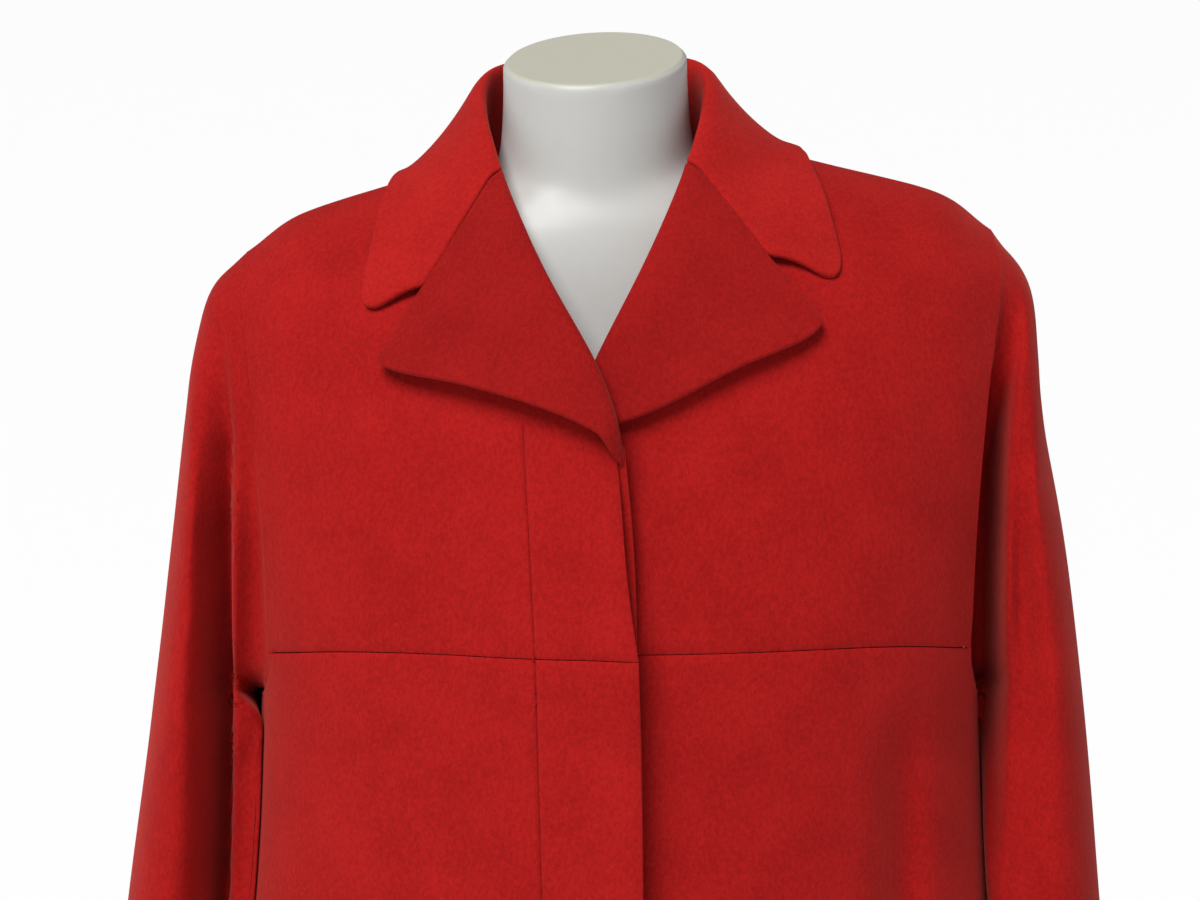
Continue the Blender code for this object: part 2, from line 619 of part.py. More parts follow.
def seated(point, cloth):
    """The point of the form, drawn in where it would touch the coat."""
    near, normal, _, distance = cloth.find_nearest(point)
    inside = (near - point).dot(normal)
    if distance < SEAT_REACH and inside < CLOTH + FIT:
        return near - normal * (CLOTH + FIT)
    return point


def quads(rows, columns, closed):
    """Corner places of every cell of a grid."""
    for i in range(rows - 1):
        for j in range(columns if closed else columns - 1):
            k = (j + 1) % columns
            yield (i, j), (i, k), (i + 1, k), (i + 1, j)


def place_key(point):
    return tuple(round(c, 5) for c in point)


def sewn_normals(panels):
    """Outward direction at each point of a set of panels, shared where panels meet at a seam."""
    shared = {}
    for panel in panels:
        grid, own = panel.grid, {}
        for cell in quads(len(grid), len(grid[0]), panel.closed):
            a, b, c, d = (grid[i][j] for i, j in cell)
            normal = (c - a).cross(d - b).normalized() * panel.facing
            for p in (a, b, c, d):
                own[place_key(p)] = own.get(place_key(p), Vector()) + normal
        for key, total in own.items():
            shared[key] = shared.get(key, Vector()) + total.normalized()
    return {key: total.normalized() for key, total in shared.items()}


def cloth_tree(panels):
    """Search tree over the panels' outer faces."""
    points, faces = [], []
    for panel in panels:
        start, columns = len(points), len(panel.grid[0])
        points += [p for line in panel.grid for p in line]
        for cell in quads(len(panel.grid), columns, panel.closed):
            face = [start + i * columns + j for i, j in cell]
            faces.append(face if panel.facing > 0 else face[::-1])
    return BVHTree.FromPolygons(points, faces)


def trimmed(grid, closed):
    """The grid with its edges drawn back by half a seam."""
    rows, columns = len(grid), len(grid[0])
    out = []
    for i in range(rows):
        inner_i = min(max(i, 1), rows - 2)
        line = []
        for j in range(columns):
            inner_j = j if closed else min(max(j, 1), columns - 2)
            step = grid[inner_i][inner_j] - grid[i][j]
            line.append(grid[i][j] + step.normalized() * (SEAM / 2))
        out.append(line)
    return out


def finish(name, mesh, look):
    """Puts a mesh in the part as a named object with its own material."""
    material = bpy.data.materials.new(name)
    material.use_nodes = True
    shader = material.node_tree.nodes["Principled BSDF"]
    shader.inputs["Base Color"].default_value = (*look.colour, 1.0)
    shader.inputs["Roughness"].default_value = look.roughness
    shader.inputs["Metallic"].default_value = look.metallic
    mesh.materials.append(material)
    mesh.shade_smooth()
    mesh.set_sharp_from_angle(angle=SHARP_ANGLE)
    item = bpy.data.objects.new(name, mesh)
    item.parent = root
    coat.objects.link(item)
    return item


def wall(panel, normals):
    """Closed cloth wall between a panel's points and the same points moved along their normals."""
    rows, columns = len(panel.grid), len(panel.grid[0])
    face = trimmed(panel.grid, panel.closed)
    shell = bmesh.new()
    near, far = {}, {}
    for i in range(rows):
        for j in range(columns):
            shift = normals[place_key(panel.grid[i][j])] * panel.wall
            near[i, j] = shell.verts.new(face[i][j])
            far[i, j] = shell.verts.new(face[i][j] + shift)
    for a, b, c, d in quads(rows, columns, panel.closed):
        shell.faces.new((near[a], near[b], near[c], near[d]))
        shell.faces.new((far[d], far[c], far[b], far[a]))
    last = columns if panel.closed else columns - 1
    rim = [((i, j), (i, (j + 1) % columns)) for i in (0, rows - 1) for j in range(last)]
    if not panel.closed:
        rim += [((i, j), (i + 1, j)) for j in (0, columns - 1) for i in range(rows - 1)]
    for ends in rim:
        low, high = sorted(ends, key=lambda place: panel.grid[place[0]][place[1]].z)
        shell.faces.new((near[low], far[low], far[high], near[high]))
    bmesh.ops.recalc_face_normals(shell, faces=shell.faces)
    mesh = bpy.data.meshes.new(panel.name)
    shell.to_mesh(mesh)
    shell.free()
    return finish(panel.name, mesh, CASHMERE)


def form_ring(row, cloth):
    """One level ring of the form, leaning with the neck."""
    height = (row.z - FORM_FOOT_Z) / (NECK_TOP_Z - FORM_FOOT_Z)
    middle = -FORM_LEAN * height
    tipped = smooth(NECK_FOOT_Z, NECK_TOP_Z, row.z)
    ring = []
    for i in range(FORM_SIDES):
        angle = 2 * math.pi * i / FORM_SIDES
        c, s = math.cos(angle), math.sin(angle)
        x = math.copysign(abs(c) ** (2 / row.squareness), c) * row.half_width
        y = math.copysign(abs(s) ** (2 / row.squareness), s) * (row.back if s > 0 else row.front)
        z = row.z + tilt(x, row.z) + tipped * (CAP_TIP * y + (CAP_ROLL - TILT) * x)
        ring.append(Vector((x + middle, y, z)))
    if SEAT_LOW < row.z < SEAT_HIGH:
        ring = [seated(p, cloth) for p in ring]
    return ring


def dress_form(cloth):
    """Torso and neck in one closed skin, flat under the hips and on the neck cap."""
    skin = bmesh.new()
    rim = FORM[-1]._replace(z=NECK_TOP_Z - CAP_ROUND)
    inner = {size: getattr(rim, size) - CAP_ROUND for size in ("half_width", "front", "back")}
    rows = FORM + [rim, rim._replace(z=NECK_TOP_Z, **inner)]
    rings = [[skin.verts.new(p) for p in form_ring(row, cloth)] for row in rows]
    for low, high in zip(rings, rings[1:]):
        for i in range(FORM_SIDES):
            k = (i + 1) % FORM_SIDES
            skin.faces.new((low[i], low[k], high[k], high[i]))
    skin.faces.new(rings[0])
    skin.faces.new(rings[-1])
    bmesh.ops.recalc_face_normals(skin, faces=skin.faces)
    mesh = bpy.data.meshes.new("form_torso")
    skin.to_mesh(mesh)
    skin.free()
    return finish("form_torso", mesh, SHELL)


def upright(name, radius, low, high, sides):
    """Round upright steel piece between two heights."""
    shape = bmesh.new()
    bmesh.ops.create_cone(shape, cap_ends=True, segments=sides, radius1=radius, radius2=radius, depth=high - low)
    bmesh.ops.translate(shape, verts=shape.verts, vec=(0.0, 0.0, (low + high) / 2))
    mesh = bpy.data.meshes.new(name)
    shape.to_mesh(mesh)
    shape.free()
    return finish(name, mesh, STEEL)


coat = bpy.data.collections.new("cashmere_coat_on_form")
bpy.context.scene.collection.children.link(coat)
root = bpy.data.objects.new("coat_root", None)
coat.objects.link(root)

# Body panels and sleeves, whose points are on the outside of the cloth
Panel = namedtuple("Panel", "name grid facing closed wall")
body, sleeves = [], []
for side, label in ((-1, "right"), (1, "left")):
    top = yoke(side)
    low = lower_front(side, top[0])
    behind = half_back(side, top[-1])
    front_edge = [line[-1] for line in low[SKIRT_ROWS:-1] + top]
    back_edge = [line[-1] for line in behind[SKIRT_ROWS:]]
    body.append(Panel(f"coat_front_yoke_{label}", top, side, False, -CLOTH))
    body.append(Panel(f"coat_front_skirt_{label}", low, side, False, -CLOTH))
    body.append(Panel(f"coat_back_{label}", behind, -side, False, -CLOTH))
    sleeves.append(Panel(f"coat_sleeve_{label}", sleeve(side, front_edge, back_edge), -side, True, -CLOTH))
body_normals = sewn_normals(body + sleeves)
for piece in body + sleeves:
    wall(piece, body_normals)

# Fly strip, whose points are on its front face
under = cloth_tree(body)
fly = Panel("coat_fly_strip", fly_strip(under), 1, False, -FLY)
wall(fly, sewn_normals([fly]))

# Lapels and collar, whose points are on the face that lies towards the body
right_lapel, left_lapel = lapel(-1), lapel(1)
neckwear = [
    Panel("coat_lapel_right", turned(right_lapel, under), -1, False, TURNED),
    Panel("coat_lapel_left", turned(left_lapel, under), 1, False, TURNED),
    Panel("coat_collar", turned(collar(right_lapel[-1], left_lapel[-1]), under), -1, False, TURNED),
]
neck_normals = sewn_normals(neckwear)
for piece in neckwear:
    wall(piece, neck_normals)

# Dress form: torso, pole and base plate
dress_form(under)
upright("form_pole", POLE_RADIUS, BASE_HEIGHT + SEAM, FORM_FOOT_Z - SEAM, POLE_SIDES)
base = upright("form_base", BASE_RADIUS, 0.0, BASE_HEIGHT, BASE_SIDES)
rounded = base.modifiers.new("rounded edge", "BEVEL")
rounded.width = BASE_BEVEL
rounded.segments = 2
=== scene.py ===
"""Red cashmere coat on a white dress form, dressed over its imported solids.

Metres, +Z up. The coat's front faces -Y and the wearer's right is at -X.
"""
import math
from collections import namedtuple

import bmesh
import bpy
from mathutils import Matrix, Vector
from mathutils.bvhtree import BVHTree
from mathutils.geometry import intersect_point_line
from mathutils.kdtree import KDTree


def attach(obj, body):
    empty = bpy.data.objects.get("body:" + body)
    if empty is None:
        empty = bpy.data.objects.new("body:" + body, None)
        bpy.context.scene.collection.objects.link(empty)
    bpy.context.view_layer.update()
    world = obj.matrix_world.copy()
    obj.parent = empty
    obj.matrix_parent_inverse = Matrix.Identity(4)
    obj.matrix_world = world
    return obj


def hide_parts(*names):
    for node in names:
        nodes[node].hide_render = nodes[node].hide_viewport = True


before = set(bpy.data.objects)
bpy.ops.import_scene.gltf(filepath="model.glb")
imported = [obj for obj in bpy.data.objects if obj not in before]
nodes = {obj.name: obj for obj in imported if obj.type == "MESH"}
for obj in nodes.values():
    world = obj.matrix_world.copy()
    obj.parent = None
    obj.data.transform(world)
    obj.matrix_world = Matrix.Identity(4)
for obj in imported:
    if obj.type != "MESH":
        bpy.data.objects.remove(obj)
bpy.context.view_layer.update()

# Base plate of the dress form: a heavy steel disc with a rounded rim, turned and brushed in rings.
# It lies flat on the floor, and the pole is screwed into its middle.
BASE_RADIUS = 0.190
BASE_HEIGHT = 0.014
BASE_BEVEL = 0.004
BASE_SIDES = 160
RIM_STEPS = 4                # rounding steps of a steel rim
RIM_SMOOTH = math.radians(30)


class Wire:
    """A node's output, which the sums and products of a finish are written with."""

    def __init__(self, finish, socket):
        self.finish = finish
        self.socket = socket

    def worked(self, operation, first, second):
        return self.finish.node("ShaderNodeMath", {"operation": operation}, {0: first, 1: second})

    def __add__(self, other):
        return self.worked("ADD", self, other)

    def __radd__(self, other):
        return self.worked("ADD", other, self)

    def __sub__(self, other):
        return self.worked("SUBTRACT", self, other)

    def __rsub__(self, other):
        return self.worked("SUBTRACT", other, self)

    def __mul__(self, other):
        return self.worked("MULTIPLY", self, other)

    def __rmul__(self, other):
        return self.worked("MULTIPLY", other, self)

    def __pow__(self, other):
        return self.worked("POWER", self, other)


class Finish:
    """A material of nodes that end in one Principled shader."""

    def __init__(self, name, constants):
        self.material = bpy.data.materials.new(name)
        self.material.use_nodes = True
        self.tree = self.material.node_tree
        self.shader = self.tree.nodes["Principled BSDF"]
        for socket, value in constants.items():
            self.shader.inputs[socket].default_value = value

    def node(self, kind, settings, sockets, output=0):
        """Adds a node, sets it up, then fills or links its sockets."""
        made = self.tree.nodes.new(kind)
        for name, value in settings.items():
            setattr(made, name, value)
        for name, value in sockets.items():
            if isinstance(value, Wire):
                self.tree.links.new(value.socket, made.inputs[name])
            else:
                made.inputs[name].default_value = value
        return Wire(self, made.outputs[output])

    def place(self):
        return self.node("ShaderNodeTexCoord", {}, {}, 3)

    def parted(self, place):
        """The three measures of a place, east, north and up."""
        return [self.node("ShaderNodeSeparateXYZ", {}, {"Vector": place}, axis) for axis in range(3)]

    def noise(self, place, scale, detail):
        return self.node("ShaderNodeTexNoise", {}, {"Vector": place, "Scale": scale, "Detail": detail})

    def within(self, value, low, high):
        """How far a value has come from low to high, from 0 to 1."""
        sockets = {"Value": value, "From Min": low, "From Max": high}
        return self.node("ShaderNodeMapRange", {"interpolation_type": "SMOOTHSTEP"}, sockets)

    def blend(self, share, first, second):
        return self.node("ShaderNodeMix", {"data_type": "RGBA"}, {0: share, 6: first, 7: second}, 2)

    def bump(self, height, strength, distance):
        sockets = {"Height": height, "Strength": strength, "Distance": distance}
        return self.node("ShaderNodeBump", {}, sockets)

    def feed(self, sockets):
        """Links the values that vary over the surface to the shader."""
        for name, wire in sockets.items():
            self.tree.links.new(wire.socket, self.shader.inputs[name])


def satin_steel():
    """Steel brushed in rings about the pole, a little cloudy."""
    finish = Finish("satin steel", {"Metallic": 1.0})
    place = finish.place()
    east, north, _ = finish.parted(place)
    out = (east * east + north * north) ** 0.5
    rings = finish.node("ShaderNodeTexNoise", {"noise_dimensions": "1D"}, {"W": out * 900.0, "Detail": 3.0})
    cloud = finish.noise(place, 24.0, 3.0)
    tone = rings * 0.6 + cloud * 0.4
    finish.feed({
        "Base Color": finish.blend(tone, (0.34, 0.34, 0.35, 1.0), (0.56, 0.56, 0.57, 1.0)),
        "Roughness": 0.26 + rings * 0.2,
        "Normal": finish.bump(rings, 0.12, 0.0004),
    })
    return finish.material


def activate(piece):
    bpy.ops.object.select_all(action="DESELECT")
    piece.select_set(True)
    bpy.context.view_layer.objects.active = piece


def apply(piece, modifier):
    activate(piece)
    bpy.ops.object.modifier_apply(modifier=modifier.name)


def upright(name, radius, low, high, sides, bevel):
    """Round upright piece with both its rims rounded off."""
    bpy.ops.object.select_all(action="DESELECT")
    middle = (0.0, 0.0, (low + high) / 2)
    bpy.ops.mesh.primitive_cylinder_add(vertices=sides, radius=radius, depth=high - low, location=middle)
    piece = bpy.context.object
    piece.name = piece.data.name = name
    bpy.ops.object.transform_apply(location=True, rotation=True, scale=True)
    bpy.ops.object.mode_set(mode="EDIT")
    bpy.ops.mesh.select_all(action="DESELECT")
    shape = bmesh.from_edit_mesh(piece.data)
    for edge in shape.edges:
        edge.select = edge.verts[0].co.z == edge.verts[1].co.z
    bmesh.update_edit_mesh(piece.data)
    bpy.ops.mesh.bevel(offset=bevel, segments=RIM_STEPS)
    bpy.ops.object.mode_set(mode="OBJECT")
    bpy.ops.object.shade_smooth_by_angle(angle=RIM_SMOOTH)
    return piece


def stand_for(piece, material, slot, *replaced):
    """Gives a finished piece its material and puts it in the place of its solids."""
    piece.data.materials.clear()
    piece.data.materials.append(material)
    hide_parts(*replaced)
    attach(piece, "root")


steel = satin_steel()
base = upright("base_plate", BASE_RADIUS, 0.0, BASE_HEIGHT, BASE_SIDES, BASE_BEVEL)
stand_for(base, steel, "steel", "form_base")

# Pole of the dress form: a drawn steel tube with its ends turned square and eased.
# It stands in the base plate and carries the torso on its top end.
POLE_RADIUS = 0.014
POLE_LOW, POLE_HIGH = 0.0143, 0.7597
POLE_BEVEL = 0.001
POLE_SIDES = 64
pole = upright("pole", POLE_RADIUS, POLE_LOW, POLE_HIGH, POLE_SIDES, POLE_BEVEL)
stand_for(pole, steel, "steel", "form_pole")

# Torso of the dress form: one moulded shell from hips to neck, milky white and half glossy, with a flat
# cap on the neck. It sits on the pole, and the coat hangs from its shoulders.
MERGE = 1e-6
CAP_LOW, CAP_HIGH = 1.4797, 1.4808   # the cap's rim, measured along its slope
CAP_ROLL, CAP_TIP = 0.054, 0.235     # slopes of the cap to the side and to the front
CAP_INSETS = 0.0012, 0.014
RIM_CREASE = 0.55
RIM_EDGE = 0.006                     # an edge along the rim is longer than this
END_FACING, RIM_FACING = 0.93, 0.3   # how level a flat end is, and the slanted rim beside it
PAIR_ANGLE = math.radians(160)       # triangles are joined in pairs up to this
TORSO_LEVELS = 2
TORSO_SMOOTH = 50


def merged_copy(node, name):
    """A solid's mesh as a new piece, its loose triangles joined at their corners."""
    piece = bpy.data.objects.new(name, nodes[node].data.copy())
    bpy.context.scene.collection.objects.link(piece)
    activate(piece)
    bpy.ops.mesh.customdata_custom_splitnormals_clear()
    bpy.ops.object.mode_set(mode="EDIT")
    bpy.ops.mesh.select_all(action="SELECT")
    bpy.ops.mesh.remove_doubles(threshold=MERGE)
    bpy.ops.object.mode_set(mode="OBJECT")
    return piece


def four_sided(piece):
    """Joins the triangles of a piece in pairs."""
    activate(piece)
    bpy.ops.object.mode_set(mode="EDIT")
    bpy.ops.mesh.select_all(action="SELECT")
    bpy.ops.mesh.tris_convert_to_quads(face_threshold=PAIR_ANGLE, shape_threshold=PAIR_ANGLE)
    bpy.ops.object.mode_set(mode="OBJECT")


def flat_ends(piece):
    """Makes each flat end of the torso one face with rings inside it, and keeps the cap's rim crisp."""
    activate(piece)
    bpy.ops.object.mode_set(mode="EDIT")
    shape = bmesh.from_edit_mesh(piece.data)
    middle = sum(vertex.co.z for vertex in shape.verts) / len(shape.verts)
    crease = shape.edges.layers.float.new("crease_edge")
    for face in shape.faces:
        rise = face.normal.z
        height = face.calc_center_median().z
        face.select = abs(rise) > END_FACING and (rise > 0) == (height > middle)
        slanted = RIM_FACING < rise < END_FACING and height > CAP_LOW - RIM_EDGE * 2
        for edge in face.edges:
            if slanted and edge.calc_length() > RIM_EDGE:
                edge[crease] = RIM_CREASE
    bmesh.update_edit_mesh(piece.data)
    bpy.ops.mesh.dissolve_faces()
    for inset in CAP_INSETS:
        bpy.ops.mesh.inset(thickness=inset, use_individual=True)
    bpy.ops.object.mode_set(mode="OBJECT")


def refined(piece, levels, corners):
    """Divides a piece's cells on a smooth surface, its open corners rounded or kept."""
    finer = piece.modifiers.new("finer", "SUBSURF")
    finer.levels = finer.render_levels = levels
    finer.boundary_smooth = corners
    apply(piece, finer)
    held = piece.data.attributes.get("crease_vert")
    if held:
        piece.data.attributes.remove(held)


def smooth_shaded(piece, degrees):
    activate(piece)
    bpy.ops.object.shade_smooth_by_angle(angle=math.radians(degrees))


def milky_shell():
    """Moulded shell, cool white with warmer clouds, a warmer cap and a faint uneven gloss."""
    finish = Finish("milky shell", {"Subsurface Weight": 0.10, "Subsurface Radius": (0.02, 0.02, 0.018)})
    place = finish.place()
    east, north, up = finish.parted(place)
    capped = finish.within(up - CAP_ROLL * east - CAP_TIP * north, CAP_LOW, CAP_HIGH)
    cloud = finish.noise(place, 7.0, 2.0)
    grain = finish.noise(place, 160.0, 4.0)
    tone = cloud * 0.75 + grain * 0.25
    skin = finish.blend(tone, (0.463, 0.450, 0.416, 1.0), (0.530, 0.536, 0.530, 1.0))
    finish.feed({
        "Base Color": finish.blend(capped * 0.9, skin, (0.500, 0.486, 0.392, 1.0)),
        "Roughness": 0.34 + grain * 0.14,
        "Normal": finish.bump(grain, 0.05, 0.0005),
    })
    return finish.material


torso = merged_copy("form_torso", "torso")
flat_ends(torso)
four_sided(torso)
refined(torso, TORSO_LEVELS, "ALL")
smooth_shaded(torso, TORSO_SMOOTH)
stand_for(torso, milky_shell(), "form_shell", "form_torso")

# Back of the coat: two halves of thick double-faced cashmere, cut to flare from the shoulder blades to
# the hem and sewn together down the middle. They hang from the shoulder seams in soft folds.
CLOTH = 0.0030
RIM_MATCH = 2e-6        # how closely an edge's length matches the cloth's wall
SEW_REACH = 0.005       # edges closer than this are sewn together
SEW_EASE = 0.014        # how far from a seam the cloth follows its edge
SEW_TRIES = 8           # places on other edges that are tried for each point
SEAM_SPACE = 0.0001
SEAM_SOFT = 0.008       # how far from a seam the cloth begins to dip
SEAM_DIP = 0.0009
SEAM_PIN = 0.016        # how far from a seam a fold has faded
EASED = 0.0007          # rounding of the cloth's edges
EASED_STEPS = 2
CLOTH_LEVELS = 3        # how often the body's cells are halved
CLOTH_SMOOTH = 75
PRESS_FACING = 0.4      # a fold fades where the sheet faces away by more than this
CORNER = math.radians(140)   # an outline that turns to less than this has a corner
SHARP = math.radians(60)
RIM_NEAR = 1.6          # in walls: the edges that are eased lie closer than this to the outline
ARMHOLE_X = 0.1985, 0.2005   # the armholes lie outside this, above the side seams
ARMHOLE_Z = 1.111, 1.114
ARMHOLE_QUIET = 0.92         # the armhole seams are pressed open and hardly show
SEAM_SEEN = 0.5              # a seam that shows more than this has eased edges
SHOULDER_X = 0.040           # the shoulder seams fade out towards them over this length
SHOULDER_Z = 1.300, 1.360
Fold = namedtuple("Fold", "depth left right path")
seam_lines = []
body_places = []
body_faces = []


def outer_face(node, name, wall):
    """A cloth solid's outer face as a new sheet: its rim, one wall wide, and its inner face come off."""
    piece = merged_copy(node, name)
    bpy.ops.object.mode_set(mode="EDIT")
    shape = bmesh.from_edit_mesh(piece.data)
    across = [edge for edge in shape.edges if abs(edge.calc_length() - wall) < RIM_MATCH]
    left = set(shape.faces) - {face for edge in across for face in edge.link_faces}
    shells = []
    while left:
        reached = [left.pop()]
        shell = set(reached)
        while reached:
            for edge in reached.pop().edges:
                near = left.intersection(edge.link_faces)
                left -= near
                shell |= near
                reached += near
        shells.append(shell)
    outer = max(shells, key=lambda shell: sum(face.calc_area() for face in shell))
    for face in shape.faces:
        face.select = face not in outer
    bmesh.update_edit_mesh(piece.data)
    bpy.ops.mesh.delete(type="FACE")
    bpy.ops.object.mode_set(mode="OBJECT")
    four_sided(piece)
    return piece


def corners_held(piece):
    """Keeps a sheet's corners where they are when its cells are divided."""
    shape = bmesh.new()
    shape.from_mesh(piece.data)
    held = shape.verts.layers.float.new("crease_vert")
    for vertex in shape.verts:
        sides = [edge.other_vert(vertex).co - vertex.co for edge in vertex.link_edges if edge.is_boundary]
        if len(sides) == 2 and sides[0].angle(sides[1]) < CORNER:
            vertex[held] = 1.0
    shape.to_mesh(piece.data)
    shape.free()


def soft_step(low, high, value):
    t = min(1.0, max(0.0, (value - low) / (high - low)))
    return t * t * (3.0 - 2.0 * t)


def shifted(piece, moves):
    """Moves each point of a piece by its own step."""
    for point, move in zip(piece.data.vertices, moves):
        point.co += move
    piece.data.update()


def drawn(piece, middle, step, reach):
    """Draws the cloth near a place, seen from the front, in a direction."""
    moves = []
    for point in piece.data.vertices:
        away = math.hypot(point.co.x - middle[0], point.co.z - middle[1])
        moves.append(Vector(step) * math.exp(-((away / reach) ** 2)))
    shifted(piece, moves)


def rounded(piece, middle, reach, rounds):
    """Rounds a sheet off near a place, seen from the front: its points settle between their neighbours."""
    shape = bmesh.new()
    shape.from_mesh(piece.data)
    near = []
    for vertex in shape.verts:
        away = math.hypot(vertex.co.x - middle[0], vertex.co.z - middle[1])
        if away < reach * 2:
            near.append((vertex, math.exp(-((away / reach) ** 2)) / 2))
    for _ in range(rounds):
        moves = []
        for vertex, share in near:
            ties = [edge for edge in vertex.link_edges if edge.is_boundary or not vertex.is_boundary]
            between = sum((edge.other_vert(vertex).co for edge in ties), Vector()) / len(ties)
            moves.append((between - vertex.co) * share)
        for (vertex, _), move in zip(near, moves):
            vertex.co += move
    shape.to_mesh(piece.data)
    shape.free()


def rim_pairs(piece):
    """Open edges of a sheet, each as the numbers of its two points."""
    shape = bmesh.new()
    shape.from_mesh(piece.data)
    pairs = [(edge.verts[0].index, edge.verts[1].index) for edge in shape.edges if edge.is_boundary]
    shape.free()
    return pairs


def finder(places):
    """Search tree over a list of places."""
    tree = KDTree(len(places))
    for k, place in enumerate(places):
        tree.insert(place, k)
    tree.balance()
    return tree


def nearest_on(lines, place):
    """The nearest point on a few straight lines."""
    best = None
    for start, end in lines:
        share = intersect_point_line(place, start, end)[1]
        point = start.lerp(end, min(1.0, max(0.0, share)))
        away = (place - point).length
        if best is None or away < best[0]:
            best = away, point
    return best


def follow(piece, leaders, ease):
    """Moves a piece with a few of its points, given as places and steps, less the further from them."""
    if leaders:
        near = finder([place for place, _ in leaders])
        moves = []
        for point in piece.data.vertices:
            _, k, away = near.find(point.co)
            moves.append(leaders[k][1] * (1.0 - soft_step(0.0, ease, away)))
        shifted(piece, moves)


def sewn(piece):
    """Draws a sheet's edges to those of the sheets made before it, and keeps its own for the next."""
    points = piece.data.vertices
    pairs = rim_pairs(piece)
    rim = sorted({k for pair in pairs for k in pair})
    if seam_lines:
        line_ends = finder([start.lerp(end, share) for start, end in seam_lines for share in (0.0, 0.5)])
        moved = []
        for k in rim:
            place = points[k].co.copy()
            near = {found[1] // 2 for found in line_ends.find_n(place, SEW_TRIES)}
            away, target = nearest_on([seam_lines[n] for n in near], place)
            if SEAM_SPACE < away < SEW_REACH:
                moved.append((place, (target - place) * (1.0 - SEAM_SPACE / away)))
        follow(piece, moved, SEW_EASE)
    seam_lines.extend((points[a].co.copy(), points[b].co.copy()) for a, b in pairs)


def beside(path, x, z):
    """Nearest place on a path: how far to its right it is, and the path's strength there."""
    best = None
    for (ax, az, a), (bx, bz, b) in zip(path, path[1:]):
        run, rise = bx - ax, bz - az
        t = min(1.0, max(0.0, ((x - ax) * run + (z - az) * rise) / (run * run + rise * rise)))
        gap_x, gap_z = x - ax - t * run, z - az - t * rise
        away = math.hypot(gap_x, gap_z)
        if best is None or away < best[0]:
            best = away, math.copysign(away, gap_x), a + (b - a) * t
    return best[1:]


def press(piece, facing, folds, pin=SEAM_PIN, deep=None, power=2):
    """Presses soft folds into the front (-1) or the back (1) of a sheet, fading towards its pinned edges.

    On a tube they fade over the given depth from its middle, else where the sheet turns away.
    """
    points = piece.data.vertices
    low = min(point.co.z for point in points)
    rim = {k for pair in rim_pairs(piece) for k in pair}
    seams = finder([points[k].co.copy() for k in rim if points[k].co.z > low + SEAM_PIN])
    straight = Vector((0.0, facing, 0.0))
    moves = []
    for point in points:
        if deep:
            share = soft_step(0.0, deep, facing * point.co.y)
        else:
            share = soft_step(0.0, PRESS_FACING, facing * point.normal.y)
        depth = 0.0
        if share > 0.0:
            for fold in folds:
                away, strength = beside(fold.path, point.co.x, point.co.z)
                reach = fold.left if away < 0 else fold.right
                depth += fold.depth * strength * math.exp(-((abs(away) / reach) ** power))
            depth *= share
            if pin:
                depth *= soft_step(0.0, pin, seams.find(point.co)[2])
        moves.append(straight * -depth)
    shifted(piece, moves)


def walled(piece, wall):
    """Gives a sheet its thickness, inwards."""
    thick = piece.modifiers.new("thick", "SOLIDIFY")
    thick.thickness = wall
    thick.offset = -1.0
    apply(piece, thick)


def keep_side(piece):
    """Keeps a sheet's faces, which the sleeves hang against."""
    start = len(body_places)
    body_places.extend(point.co.copy() for point in piece.data.vertices)
    body_faces.extend([start + k for k in face.vertices] for face in piece.data.polygons)


def seam_shows(place):
    """How much a seam shows at a place: in full, except along the armholes."""
    inner, outer = ARMHOLE_X
    inner -= SHOULDER_X * soft_step(*SHOULDER_Z, place.z)
    return 1.0 - ARMHOLE_QUIET * soft_step(inner, outer, abs(place.x)) * soft_step(*ARMHOLE_Z, place.z)


def seamed(piece, wall, dip):
    """Dips a sheet softly towards its edges, gives it its thickness and eases its edges."""
    points = piece.data.vertices
    edges = finder([points[k].co.copy() for k in {k for pair in rim_pairs(piece) for k in pair}])
    moves = []
    for point in points:
        edge, _, away = edges.find(point.co)
        share = max(0.0, 1.0 - away / SEAM_SOFT)
        moves.append(point.normal * (-dip * seam_shows(edge) * share * share))
    shifted(piece, moves)
    walled(piece, wall)
    shape = bmesh.new()
    shape.from_mesh(piece.data)
    weight = shape.edges.layers.float.new("bevel_weight_edge")
    for edge in shape.edges:
        place = edge.verts[0].co
        at_rim = edges.find(place)[2] < wall * RIM_NEAR
        seen = at_rim and seam_shows(place) > SEAM_SEEN
        if seen and edge.is_manifold and edge.calc_face_angle() > SHARP:
            edge[weight] = 1.0
    shape.to_mesh(piece.data)
    shape.free()
    eased = piece.modifiers.new("eased", "BEVEL")
    eased.width = EASED
    eased.segments = EASED_STEPS
    eased.limit_method = "WEIGHT"
    eased.use_clamp_overlap = False
    apply(piece, eased)
    smooth_shaded(piece, CLOTH_SMOOTH)


def cashmere(name, dark, light):
    """Brushed cashmere: a short nap that lies in fine streaks, with cloudy patches."""
    constants = {"Sheen Weight": 0.22, "Sheen Roughness": 0.45, "Sheen Tint": (1.0, 0.22, 0.18, 1.0)}
    finish = Finish(name, {**constants, "Specular IOR Level": 0.10})
    place = finish.place()
    combed = finish.node("ShaderNodeMapping", {}, {"Vector": place, "Scale": (1.0, 1.0, 0.70)})
    cloud = finish.noise(place, 26.0, 4.0)
    nap = finish.noise(combed, 480.0, 6.0)
    fibre = finish.noise(combed, 1500.0, 2.0)
    tone = finish.within(cloud * 0.25 + nap * 0.45 + fibre * 0.30, 0.32, 0.68)
    finish.feed({
        "Base Color": finish.blend(tone, dark, light),
        "Roughness": 0.82 + nap * 0.16,
        "Normal": finish.bump(nap * 0.6 + fibre * 0.4, 0.55, 0.0010),
    })
    return finish.material


